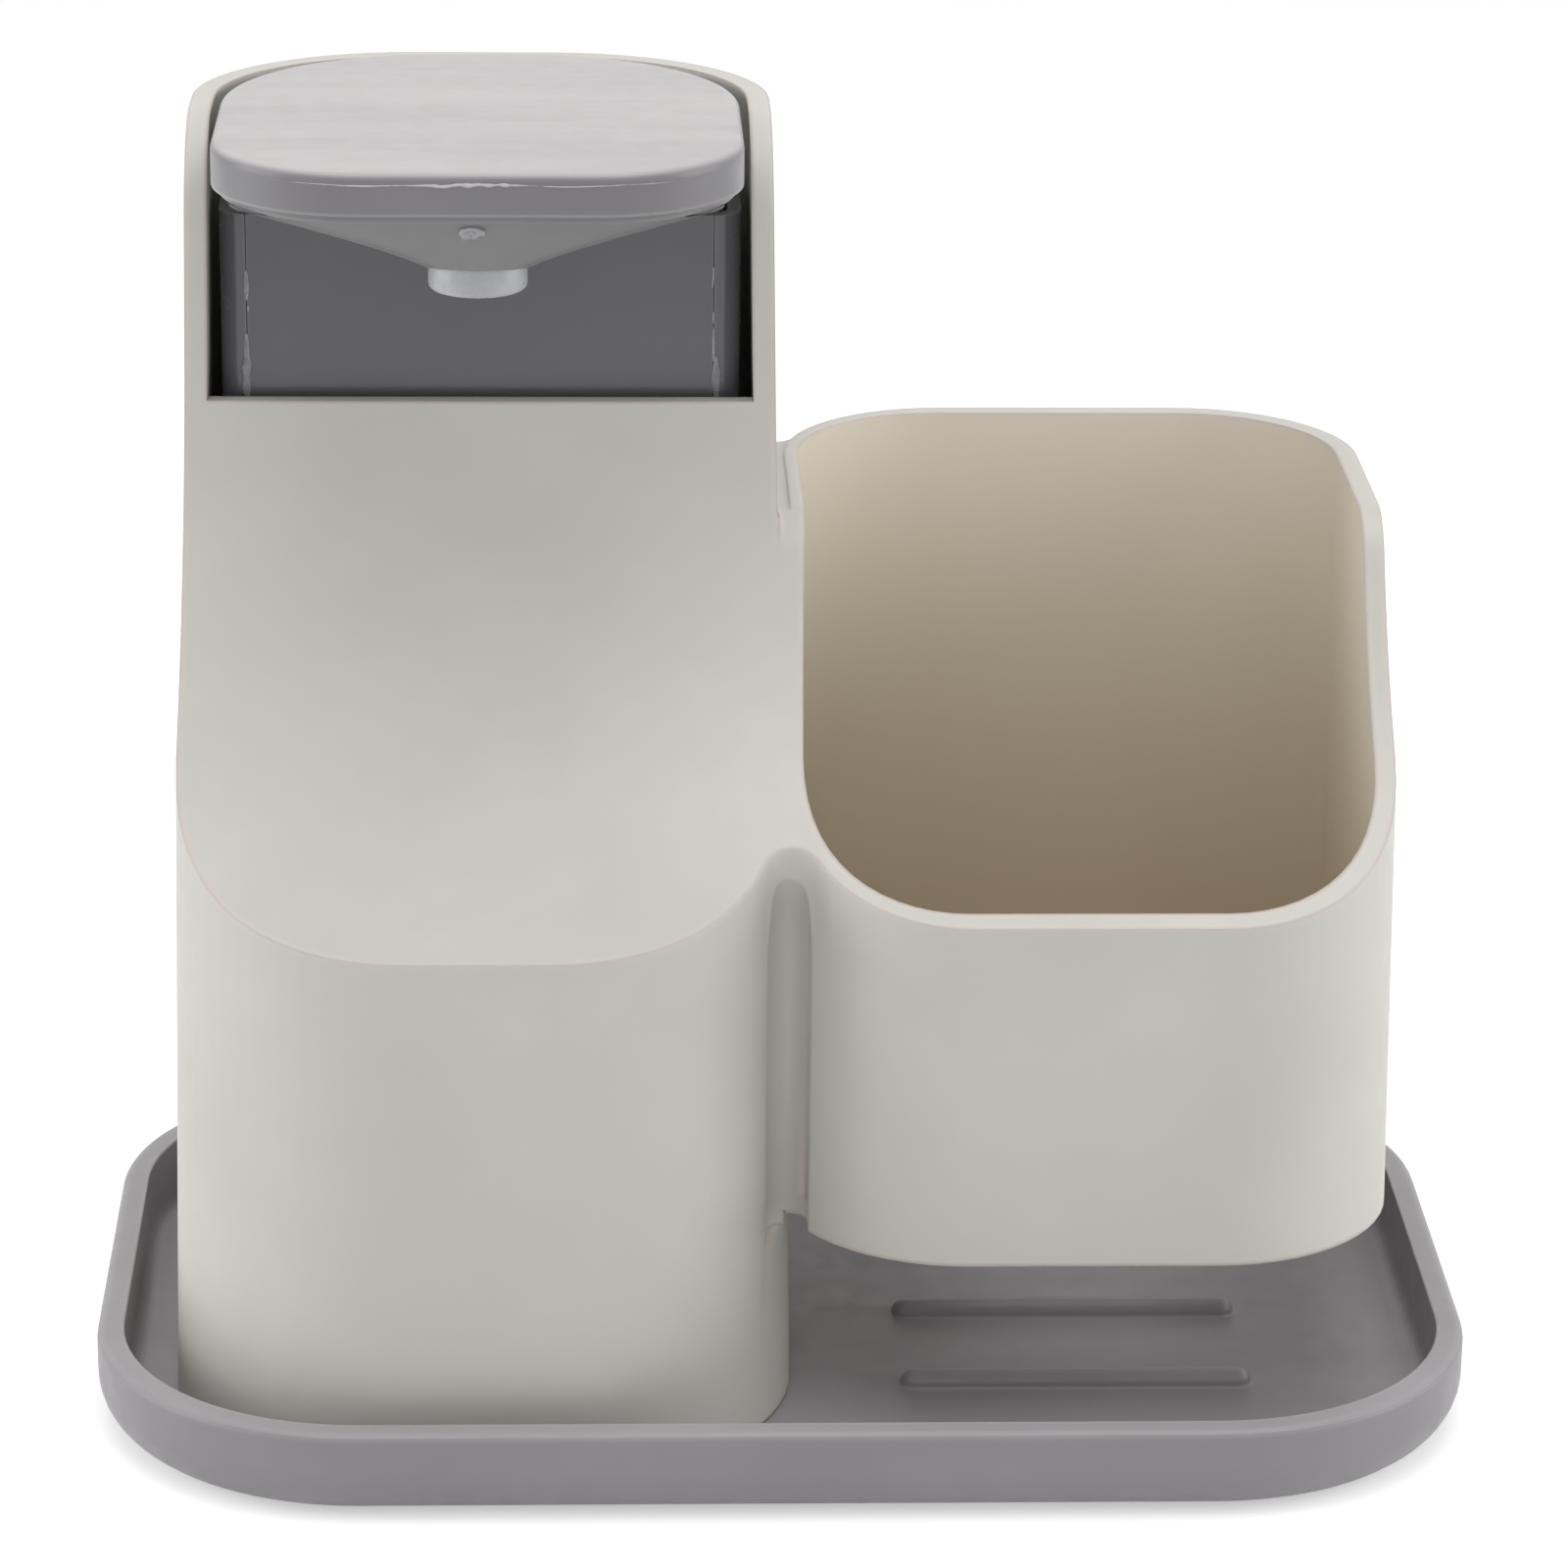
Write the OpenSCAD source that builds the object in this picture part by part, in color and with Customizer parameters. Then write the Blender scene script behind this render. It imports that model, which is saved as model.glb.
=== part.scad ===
// Soap pump caddy for the sink or the washbasin.
// A cream moulding stands in a grey drip tray: a tower that holds a pump bottle, and a hanging cup.
// The tower's front is scooped out under the press plate, so that a hand or a sponge fits there.
// X runs along the tray to the cup, -Y is the front, +Z is up.
// The origin is on the table, under the middle of the tray.

/* [Tray] */
// Width of the tray at its rim
tray_w = 200; // [180:1:230]
// Depth of the tray at its rim
tray_d = 129.4; // [120:0.2:140]
// Plan radius of the tray's corners
tray_corner_r = 39; // [36:0.5:45]
// Height of the rim above the table
tray_h = 13.6; // [10:0.2:18]
// Thickness of the tray's floor
tray_floor_t = 2.2; // [1.6:0.1:3]
// Width of the rim's top
tray_rim_t = 3.9; // [3:0.1:4.4]
// Radius of the outer bend from the wall into the base
tray_base_r = 7.5; // [4:0.5:8]
// Radius of the inner bend from the wall into the floor
tray_inner_r = 2.6; // [1:0.2:2.8]
// Height of the soap ribs above the floor
rib_h = 2.2; // [1:0.1:2.5]
// Length of a soap rib
rib_len = 52; // [30:1:65]
// Distance between soap ribs
rib_pitch = 24.6; // [15:0.2:30]
// Radius of a rib's rounded back
rib_r = 2; // [1:0.1:2.2]

/* [Caddy body] */
// Gap between the tray's outer side and the body, left and right
side_margin = 11.2; // [9:0.2:16]
// Gap between the tray's outer side and the body, front and rear
front_margin = 8.8; // [7:0.1:12]
// Width of the tower at its foot
tower_w = 90.1; // [84:0.1:96]
// Height of the tower's rim above the table
tower_h = 185.2; // [178:0.2:200]
// Plan radius of the tower's corners
tower_r = 34.9; // [30:0.1:38]
// Thickness of the tower's walls
tower_wall = 3.2; // [2:0.1:4]
// Draft of every outer wall, in degrees
draft_deg = 1.12; // [0.5:0.01:1.5]
// Radius of the scoop in the front
scoop_r = 73.5; // [70:0.5:76]
// Distance from the tower's rim down to the scoop's centre line
scoop_drop = 33.5; // [31:0.5:36]
// Distance from the tower's rim down to the window's sill
sill_drop = 39.9; // [37:0.1:44]
// Thickness of the scooped front wall
scoop_wall = 2.6; // [2:0.1:3]
// How far the cup's front stands behind the tower's front
cup_setback = 7.4; // [4:0.2:12]
// Height of the cup's underside above the table
cup_z = 31.7; // [26:0.1:40]
// Height of the cup's level rear rim above the table
cup_h = 129.4; // [118:0.2:140]
// Plan radius of the cup's corners
cup_r = 27.5; // [24:0.5:30]
// Thickness of the cup's walls
cup_wall = 3; // [2:0.1:4]
// Thickness of the cup's floor
cup_floor_t = 3; // [2:0.1:4]
// Radius of the hollow blend between tower and cup
blend_r = 3; // [2:0.5:10]
// Number of drain slots in the cup's floor
drain_count = 5; // [3:1:7]
// Length of a drain slot
drain_len = 34; // [20:1:44]
// Width of a drain slot
drain_w = 4; // [3:0.2:5]
// Thickness of the plate that closes the tower's foot
base_plate_t = 2.6; // [2:0.1:4]

/* [Bottle] */
// Gap between the bottle and the tower's rim, left and right
bottle_side_gap = 1; // [0.5:0.05:3]
// Depth of the bottle
bottle_d = 43.8; // [40:0.2:46]
// Distance from the tower's rim down to the bottle's upper edge
bottle_drop = 13.4; // [12:0.1:18]
// Depth of the recess that holds the collar
recess_depth = 22; // [21:0.5:26]
// Thickness of the bottle's walls
bottle_wall = 2; // [1.5:0.1:2.5]
// Radius of the bottle's front corners
bottle_front_r = 3.9; // [3:0.1:6]
// Outer radius of the neck
neck_r = 12.5; // [11:0.1:13]
// Height of the neck above its deck
neck_h = 11; // [9:0.5:12]

/* [Pump] */
// Stroke of the press plate
stroke = 7; // [5:0.5:7.2]
// Outer radius of the collar
collar_r = 16; // [15:0.1:17]
// Height of the collar
collar_h = 15; // [13:0.5:16]
// Outer radius of the pump cylinder
cylinder_r = 8.6; // [8:0.1:9.2]
// Wall of the pump cylinder
cylinder_wall = 1.3; // [1:0.1:1.6]
// Length of the pump cylinder below its flange
cylinder_len = 40; // [36:1:60]
// Outer radius of the pump rod
rod_r = 4; // [3.5:0.1:4.5]
// Outer radius of the dip tube
dip_r = 3; // [2.5:0.1:3.5]
// Outer radius of the return spring
spring_r = 6; // [5.5:0.1:6.4]
// Wire radius of the return spring
wire_r = 0.5; // [0.4:0.05:0.6]
// Number of turns of the return spring
spring_turns = 7; // [5:1:8]

/* [Press head] */
// Gap between the press plate and the tower's rim, left and right
head_side_gap = 1.23; // [0.6:0.01:3]
// Depth of the press plate
head_d = 75.1; // [70:0.1:78]
// How far the press plate stands above the tower's rim
head_proud = 1.2; // [0:0.1:4]
// Height of the press plate's rim
head_rim_h = 6.2; // [5:0.1:7]
// Height of the pale lip under the rim
head_lip_h = 1.1; // [0.6:0.1:1.4]
// Radius of the plate's front corners
head_front_r = 20.7; // [14:0.1:24]
// Radius of the plate's rear corners, as a share of its width
head_rear_share = 0.42; // [0.36:0.01:0.45]
// Gap between the press plate and the tower's rim at the rear
head_rear_gap = 5.3; // [1:0.1:7]
// Radius of the press plate's upper edge
head_edge_r = 1.2; // [0.6:0.1:1.6]
// Wall of the press plate
head_wall = 2; // [1.5:0.1:2.4]
// Distance from the plate's front edge back to the nozzle
nozzle_back = 14.5; // [13:0.5:18]
// Outer radius of the nozzle tip
nozzle_r = 6.9; // [5:0.1:8]
// Length of nozzle tip that shows
nozzle_len = 4.9; // [3:0.1:6]
// Depth of the funnel under the lip
funnel_h = 10.9; // [8:0.1:12]

/* [Clearances] */
// Gap under a piece that stands on another
seat_gap = 0.2; // [0.1:0.05:0.4]
// Gap round a piece that slides in another
slide_gap = 0.4; // [0.3:0.05:0.6]
// Gap round a piece that is pushed in or glued
fit_gap = 0.1; // [0.05:0.01:0.15]
// Radial clearance of a piston or rod in its bore
run_gap = 0.05; // [0.03:0.01:0.08]
// Overrun of a cut
over = 1; // [0.5:0.1:2]

/* [Hidden] */
$fn = 64;
corner_steps = 14;

// Levels of the pieces that stand on one another, and those that hang on the tower's rim
scoop_z = tower_h - scoop_drop;
sill_z = tower_h - sill_drop;
bottle_top = tower_h - bottle_drop;
head_top = tower_h + head_proud;
body_z = tray_floor_t + seat_gap;
plate_z = body_z + seat_gap;
plate_top = plate_z + base_plate_t;
bottle_z = plate_top + seat_gap;
deck_z = bottle_top - recess_depth;
neck_top = deck_z + neck_h;
gasket_t = bottle_wall * 0.6;
flange_z = neck_top + gasket_t;
flange_t = bottle_wall * 0.8;

// Outlines of the tower and the cup at the foot of the body
tower_x0 = side_margin - tray_w / 2;
tower_x1 = tower_x0 + tower_w;
tower_y0 = front_margin - tray_d / 2;
tower_y1 = tray_d / 2 - front_margin;
tower_x = (tower_x0 + tower_x1) / 2;
cup_overlap = cup_wall;
shared_wall = cup_overlap / 3;
cup_x0 = tower_x1 - cup_overlap;
cup_x1 = tray_w / 2 - side_margin;
cup_x = (cup_x0 + cup_x1) / 2;
cup_y0 = tower_y0 + cup_setback;
cup_y1 = tower_y1;
cup_y = (cup_y0 + cup_y1) / 2;
web_z0 = cup_z + slide_gap;
web_z1 = cup_h - slide_gap;
blend_bite = fit_gap;
top_inset = (tower_h - body_z) * tan(draft_deg);

// The bottle stands against the rear of the tower, and the scooped wall stands just before it
bottle_w = tower_w - 2 * (tower_wall + top_inset + bottle_side_gap);
bottle_x0 = tower_x - bottle_w / 2;
bottle_x1 = tower_x + bottle_w / 2;
bottle_y1 = tower_y1 - tower_wall - top_inset - 2 * slide_gap;
bottle_y0 = bottle_y1 - bottle_d;
bottle_rear_r = tower_r - tower_wall - top_inset;
jamb_y = bottle_y0 - 2 * slide_gap - scoop_wall;
scoop_y = jamb_y - scoop_r;

// The pump stands in the middle of the bottle's inside
pump_x = tower_x;
pump_y = (bottle_y0 + bottle_y1) / 2;
collar_z = deck_z + slide_gap;
bore_r = cylinder_r - cylinder_wall;
shoulder_z = flange_z + flange_t - cylinder_len;
tail_r = dip_r + cylinder_wall;
ball_r = rod_r * 0.56;
ball_hole_r = ball_r * 0.65;
valve_r = ball_r + slide_gap;
valve_h = 3 * ball_r;
valve_z = shoulder_z - valve_h;
tail_wall = 1.5 * cylinder_wall;
socket_top = valve_z - tail_wall;
socket_h = 3 * dip_r;
rod_bore_r = rod_r * 0.55;
guide_len = rod_r * 1.5;
guide_z = flange_z - guide_len + flange_t;
piston_h = 2 * rod_r;
piston_z = guide_z - seat_gap - piston_h;

// The press head hangs on the rod
head_w = tower_w - 2 * (tower_wall + top_inset + head_side_gap);
head_x0 = tower_x - head_w / 2;
head_x1 = tower_x + head_w / 2;
head_rear_r = head_rear_share * head_w;
head_y1 = tower_y1 - tower_wall - top_inset - head_rear_gap;
head_y0 = head_y1 - head_d;
skirt_z = head_top - head_rim_h + seat_gap;
cover_inner_z = head_top - head_wall;
lip_z = skirt_z - fit_gap - head_lip_h;
nozzle_y = head_y0 + nozzle_back;
funnel_z = lip_z - funnel_h;
nozzle_z = funnel_z - nozzle_len;
nozzle_bore_r = nozzle_r * 0.75;
duct_w = 2 * (rod_r + cylinder_wall);
duct_groove_w = 2 * rod_bore_r;
cap_t = head_wall * 0.6;
cap_z = cover_inner_z - fit_gap - cap_t;
duct_top = cap_z - fit_gap;
rod_top = lip_z + head_lip_h;
boss_r = rod_r + cylinder_wall;
boss_z = lip_z - 1.5 * head_wall;

function inset(z) = (z - body_z) * tan(draft_deg);

function arc(cx, cy, r, a0, a1, n) = [
    for (i = [0:n]) let (a = a0 + (a1 - a0) * i / n) [cx + r * cos(a), cy + r * sin(a)]
];

// Rounded rectangle as points, drawn in by k on every side
function outline(x0, x1, y0, y1, r, k) = concat(
    arc(x0 + r, y0 + r, r - k, 180, 270, corner_steps),
    arc(x1 - r, y0 + r, r - k, 270, 360, corner_steps),
    arc(x1 - r, y1 - r, r - k, 0, 90, corner_steps),
    arc(x0 + r, y1 - r, r - k, 90, 180, corner_steps)
);

// Solid through a stack of outlines that all have the same number of points
module loft(rings, heights) {
    n = len(rings[0]);
    last = len(rings) - 1;
    polyhedron(
        points = [for (j = [0:last]) for (p = rings[j]) [p[0], p[1], heights[j]]],
        faces = concat(
            [[for (i = [0:n - 1]) i]],
            [[for (i = [n - 1:-1:0]) last * n + i]],
            [for (j = [0:last - 1]) for (i = [0:n - 1])
                [j * n + i, (j + 1) * n + i, (j + 1) * n + (i + 1) % n, j * n + (i + 1) % n]]
        )
    );
}

// Upright block with drafted walls, from height z0 to z1
module drafted_block(x0, x1, y0, y1, r, k, z0, z1) {
    loft(
        [outline(x0, x1, y0, y1, r, k + inset(z0)), outline(x0, x1, y0, y1, r, k + inset(z1))],
        [z0, z1]
    );
}

// Quarter of a round disc, turned by an angle
module quarter(r, turn) {
    rotate([0, 0, turn]) intersection() {
        circle(r);
        square(r);
    }
}

// Flat plan with its own radii at the front and the rear
module plan(x0, x1, y0, y1, front_r, rear_r) {
    translate([x0, y0 + front_r]) square([x1 - x0, y1 - rear_r - y0 - front_r]);
    translate([x0 + front_r, y0]) square([x1 - x0 - 2 * front_r, front_r]);
    translate([x0 + rear_r, y1 - rear_r]) square([x1 - x0 - 2 * rear_r, rear_r]);
    translate([x0 + front_r, y0 + front_r]) quarter(front_r, 180);
    translate([x1 - front_r, y0 + front_r]) quarter(front_r, 270);
    translate([x1 - rear_r, y1 - rear_r]) quarter(rear_r, 0);
    translate([x0 + rear_r, y1 - rear_r]) quarter(rear_r, 90);
}

module slab(x0, x1, y0, y1, front_r, rear_r, k, z0, z1) {
    translate([0, 0, z0]) linear_extrude(z1 - z0)
        plan(x0 + k, x1 - k, y0 + k, y1 - k, front_r - k, rear_r - k);
}

// Section of a plate with a rolled upper edge: from its middle out to r
function rolled_section(r, roll, z0, z1) =
    concat([[0, z0], [r, z0]], arc(r - roll, z1 - roll, roll, 0, 90, 6), [[0, z1]]);

// Slab on that plan with that section all the way round
module rolled_slab(x0, x1, y0, y1, front_r, rear_r, roll, z0, z1) {
    side = y1 - y0 - front_r - rear_r;
    front = rolled_section(front_r, roll, z0, z1);
    rear = rolled_section(rear_r, roll, z0, z1);
    translate([x0 + front_r, y0 + front_r, 0]) rotate([0, 0, 180]) rotate_extrude(90) polygon(front);
    translate([x1 - front_r, y0 + front_r, 0]) rotate([0, 0, 270]) rotate_extrude(90) polygon(front);
    translate([x1 - rear_r, y1 - rear_r, 0]) rotate_extrude(90) polygon(rear);
    translate([x0 + rear_r, y1 - rear_r, 0]) rotate([0, 0, 90]) rotate_extrude(90) polygon(rear);
    translate([x0 + front_r, y0 + front_r, 0]) rotate([90, 0, 90])
        linear_extrude(x1 - x0 - 2 * front_r) mirror([1, 0]) polygon(front);
    translate([x0 + rear_r, y1 - rear_r, 0]) rotate([90, 0, 90])
        linear_extrude(x1 - x0 - 2 * rear_r) polygon(rear);
    translate([x1 - rear_r, y1 - rear_r, 0]) rotate([90, 0, 0]) linear_extrude(side) polygon(rear);
    translate([x0 + rear_r, y1 - rear_r, 0]) rotate([90, 0, 0])
        linear_extrude(side) mirror([1, 0]) polygon(rear);
    translate([x0 + rear_r, y0 + front_r, z0]) cube([x1 - x0 - 2 * rear_r, side, z1 - z0]);
}

// Rounded rectangle whose edge is a profile: x runs out from the corner's centre to r
module edge_profiled(w, d, r, z0, z1) {
    for (x = [r - w / 2, w / 2 - r], y = [r - d / 2, d / 2 - r])
        translate([x, y, 0]) rotate_extrude() children();
    for (s = [0, 180]) rotate([0, 0, s]) {
        translate([0, r - d / 2, 0]) rotate([90, 0, 90])
            linear_extrude(w - 2 * r, center = true) mirror([1, 0]) children();
        translate([w / 2 - r, 0, 0]) rotate([90, 0, 0])
            linear_extrude(d - 2 * r, center = true) children();
    }
    translate([r - w / 2, r - d / 2, z0]) cube([w - 2 * r, d - 2 * r, z1 - z0]);
}

module at_pump() {
    translate([pump_x, pump_y, 0]) children();
}

// What the scoop takes away up to a height; grow moves its wall back
module scoop(grow, top) {
    r = scoop_r + grow;
    rotate([90, 0, 90]) linear_extrude(tray_w, center = true) intersection() {
        union() {
            translate([scoop_y, scoop_z]) circle(r, $fn = 180);
            translate([scoop_y - r, scoop_z]) square([2 * r, tower_h]);
        }
        translate([scoop_y - r, 0]) square([2 * r, top]);
    }
}

// Drip tray: one shallow moulding with a rounded rim and ribs that keep soap off the floor
module drip_tray() {
    inner_w = tray_w - 2 * tray_rim_t;
    inner_d = tray_d - 2 * tray_rim_t;
    inner_corner_r = tray_corner_r - tray_rim_t;
    edge_r = tray_rim_t / 3;
    color([0.46, 0.44, 0.46]) {
        difference() {
            edge_profiled(tray_w, tray_d, tray_corner_r, 0, tray_h) polygon(concat(
                [[0, 0]],
                arc(tray_corner_r - tray_base_r, tray_base_r, tray_base_r, 270, 360, 8),
                arc(tray_corner_r - edge_r, tray_h - edge_r, edge_r, 0, 90, 4),
                [[0, tray_h]]
            ));
            edge_profiled(inner_w, inner_d, inner_corner_r, tray_floor_t, tray_h + over)
                polygon(concat(
                    [[0, tray_floor_t]],
                    arc(
                        inner_corner_r - tray_inner_r, tray_floor_t + tray_inner_r,
                        tray_inner_r, 270, 360, 6
                    ),
                    [[inner_corner_r, tray_h + over], [0, tray_h + over]]
                ));
        }
        for (i = [-1:1]) translate([cup_x, i * rib_pitch, tray_floor_t + rib_h - rib_r]) {
            rotate([0, 90, 0]) cylinder(r = rib_r, h = rib_len - 2 * rib_r, center = true, $fn = 32);
            for (s = [-1, 1]) translate([s * (rib_len / 2 - rib_r), 0, 0]) sphere(rib_r, $fn = 32);
        }
    }
}

// Centre of the hollow blend that runs into the tower's corner and the cup's corner
function blend_centre(ax, ay, bx, by, side) =
    let (
        a = tower_r + blend_r - blend_bite,
        b = cup_r + blend_r - blend_bite,
        d = norm([bx - ax, by - ay]),
        along = (a * a - b * b + d * d) / (2 * d),
        across = sqrt(a * a - along * along),
        u = [(bx - ax) / d, (by - ay) / d]
    )
    [ax + u[0] * along + side * u[1] * across, ay + u[1] * along - side * u[0] * across];

// Web that joins tower and cup: a block between their corners, hollowed at the front and at the rear
module web() {
    ax = tower_x1 - tower_r;
    ay0 = tower_y0 + tower_r;
    ay1 = tower_y1 - tower_r;
    bx = cup_x0 + cup_r;
    by0 = cup_y0 + cup_r;
    by1 = cup_y1 - cup_r;
    front = blend_centre(ax, ay0, bx, by0, 1);
    rear = blend_centre(ax, ay1, bx, by1, -1);
    difference() {
        translate([0, 0, web_z0]) linear_extrude(web_z1 - web_z0)
            polygon([[ax, ay0], front, [bx, by0], [bx, by1], rear, [ax, ay1]]);
        for (c = [front, rear]) translate([c[0], c[1], web_z0 - over])
            cylinder(
                r1 = blend_r + inset(web_z0 - over), r2 = blend_r + inset(web_z1 + over),
                h = web_z1 - web_z0 + 2 * over
            );
    }
}

module caddy_outside() {
    drafted_block(tower_x0, tower_x1, tower_y0, tower_y1, tower_r, 0, body_z, tower_h);
    drafted_block(cup_x0, cup_x1, cup_y0, cup_y1, cup_r, 0, cup_z, cup_h);
    web();
}

// Drain slots across the cup's floor
module drain_slots() {
    pitch = drain_w * 2.4;
    for (i = [0:drain_count - 1])
        translate([cup_x, cup_y + (i - (drain_count - 1) / 2) * pitch, cup_z - over])
            linear_extrude(cup_floor_t + 2 * over) {
                square([drain_len - drain_w, drain_w], center = true);
                for (s = [-1, 1])
                    translate([s * (drain_len - drain_w) / 2, 0]) circle(drain_w / 2, $fn = 32);
            }
}

// Upright ribs inside the tower that keep the bottle from sliding forward
module bottle_guides() {
    rib_w = tower_wall * 2.5;
    intersection() {
        for (x = [tower_x0, tower_x1 - rib_w]) translate([x, jamb_y, plate_top + fit_gap])
            cube([rib_w, scoop_wall, sill_z - plate_top - 2 * fit_gap]);
        drafted_block(
            tower_x0, tower_x1, tower_y0, tower_y1, tower_r, tower_wall / 2, body_z, tower_h
        );
    }
}

// Caddy body: tower, web and hanging cup in one moulding
module caddy_body() {
    color([0.80, 0.78, 0.73]) {
        difference() {
            caddy_outside();
            scoop(0, tower_h + over);
            difference() {
                drafted_block(
                    tower_x0, tower_x1, tower_y0, tower_y1, tower_r, tower_wall,
                    body_z - over, tower_h + over
                );
                scoop(scoop_wall, sill_z);
            }
            drafted_block(
                cup_x0 - shared_wall, cup_x1, cup_y0, cup_y1, cup_r, cup_wall,
                cup_z + cup_floor_t, cup_h + over
            );
            drain_slots();
        }
        difference() {
            bottle_guides();
            scoop(scoop_wall / 2, sill_z);
        }
    }
}

// Base plate: closes the foot of the tower, and the bottle stands on it
module base_plate() {
    color([0.78, 0.76, 0.71])
        slab(
            tower_x0, tower_x1, tower_y0, tower_y1, tower_r, tower_r,
            tower_wall + inset(plate_top) + fit_gap, plate_z, plate_top
        );
}

// Space inside the bottle's walls, open at the front where the panel is glued in
module bottle_inside(z0, z1) {
    slab(bottle_x0, bottle_x1, bottle_y0, bottle_y1, bottle_front_r, bottle_rear_r, bottle_wall, z0, z1);
    translate([bottle_x0 + bottle_front_r, bottle_y0 - over, z0])
        cube([bottle_w - 2 * bottle_front_r, bottle_front_r + over, z1 - z0]);
}

// Bottle shell: back, sides, floor, deck and neck, with a recess above the deck for the collar
module bottle_shell() {
    color([0.42, 0.42, 0.44]) difference() {
        union() {
            difference() {
                slab(
                    bottle_x0, bottle_x1, bottle_y0, bottle_y1, bottle_front_r, bottle_rear_r,
                    0, bottle_z, bottle_top
                );
                bottle_inside(bottle_z + bottle_wall, deck_z - bottle_wall);
                bottle_inside(deck_z, bottle_top + over);
                translate([bottle_x0 + bottle_front_r, bottle_y0 - over, bottle_z - over]) cube([
                    bottle_w - 2 * bottle_front_r, bottle_wall + fit_gap + over,
                    bottle_top - bottle_z + 2 * over
                ]);
            }
            at_pump() translate([0, 0, deck_z - bottle_wall])
                cylinder(r = neck_r, h = neck_top - deck_z + bottle_wall);
        }
        at_pump() translate([0, 0, deck_z - bottle_wall - over])
            cylinder(r = cylinder_r + 3 * slide_gap, h = recess_depth);
    }
}

// Front panel: a flat plate glued between the bottle's front corners
module bottle_front_panel() {
    color([0.36, 0.36, 0.38])
        translate([bottle_x0 + bottle_front_r + fit_gap, bottle_y0, bottle_z])
            cube([bottle_w - 2 * bottle_front_r - 2 * fit_gap, bottle_wall, bottle_top - bottle_z]);
}

// Glue seams: short runs of dried glue squeezed out along the panel's two upright edges
module glue_seams() {
    bead_r = bottle_wall * 0.25;
    starts_share = [0.02, 0.14, 0.31, 0.46, 0.62, 0.8, 0.915];
    lengths_share = [0.09, 0.13, 0.1, 0.13, 0.15, 0.08, 0.05];
    run = bottle_top - bottle_z;
    color([0.75, 0.75, 0.77])
        for (x = [bottle_x0 + bottle_front_r, bottle_x1 - bottle_front_r], i = [0:len(starts_share) - 1])
            intersection() {
                translate([x, bottle_y0, bottle_z + run * starts_share[i]]) {
                    cylinder(r = bead_r, h = run * lengths_share[i], $fn = 24);
                    translate([0, 0, run * lengths_share[i]]) sphere(bead_r, $fn = 24);
                    sphere(bead_r, $fn = 24);
                }
                translate([x - bead_r, bottle_y0 - bead_r, bottle_z])
                    cube([2 * bead_r, bead_r - fit_gap / 2, run]);
            }
}

// Neck gasket: soft ring between the pump's flange and the neck
module neck_gasket() {
    color([0.9, 0.9, 0.88]) at_pump() translate([0, 0, neck_top + fit_gap / 2]) difference() {
        cylinder(r = neck_r - fit_gap, h = gasket_t - fit_gap);
        translate([0, 0, -over]) cylinder(r = cylinder_r + slide_gap, h = gasket_t + 2 * over);
    }
}

// Screw collar: ribbed cap that clamps the flange on the neck
module screw_collar() {
    rib_count = 36;
    top_t = bottle_wall * 0.9;
    color([0.40, 0.40, 0.42]) at_pump() {
        difference() {
            translate([0, 0, collar_z]) cylinder(r = collar_r - slide_gap, h = collar_h);
            translate([0, 0, collar_z - over])
                cylinder(r = neck_r + 2 * slide_gap, h = flange_z + flange_t + seat_gap - collar_z + over);
            translate([0, 0, collar_z]) cylinder(r = cylinder_r + 2 * slide_gap, h = collar_h + over);
        }
        difference() {
            for (i = [0:rib_count - 1]) rotate([0, 0, 360 * i / rib_count])
                translate([collar_r - slide_gap - fit_gap, 0, collar_z + top_t])
                    cylinder(r = slide_gap, h = collar_h - 2 * top_t, $fn = 16);
            translate([0, 0, collar_z - over])
                cylinder(r = collar_r - slide_gap - fit_gap, h = collar_h + 2 * over);
        }
    }
}

// Pump cylinder: flange, barrel, valve seat and the socket for the dip tube, as one turned form
module pump_cylinder() {
    barrel_z = shoulder_z - tail_wall;
    color([0.86, 0.87, 0.87]) at_pump() rotate_extrude() polygon([
        [bore_r, flange_z + flange_t],
        [neck_r - fit_gap, flange_z + flange_t],
        [neck_r - fit_gap, flange_z],
        [cylinder_r, flange_z],
        [cylinder_r, barrel_z],
        [tail_r, barrel_z - cylinder_wall],
        [tail_r, socket_top - socket_h],
        [dip_r + run_gap, socket_top - socket_h],
        [dip_r + run_gap, socket_top],
        [ball_hole_r, socket_top],
        [ball_hole_r, valve_z],
        [valve_r, valve_z],
        [valve_r, shoulder_z],
        [bore_r, shoulder_z]
    ]);
}

// Guide ring: snaps into the mouth of the cylinder and guides the rod
module guide_ring() {
    color([0.86, 0.87, 0.87]) at_pump() difference() {
        union() {
            translate([0, 0, guide_z]) cylinder(r = bore_r - run_gap, h = guide_len + flange_t);
            translate([0, 0, flange_z + flange_t + run_gap])
                cylinder(r = cylinder_r + slide_gap, h = flange_t);
        }
        translate([0, 0, guide_z - over])
            cylinder(r = rod_r + run_gap, h = guide_len + flange_t + 3 * over);
    }
}

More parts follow.
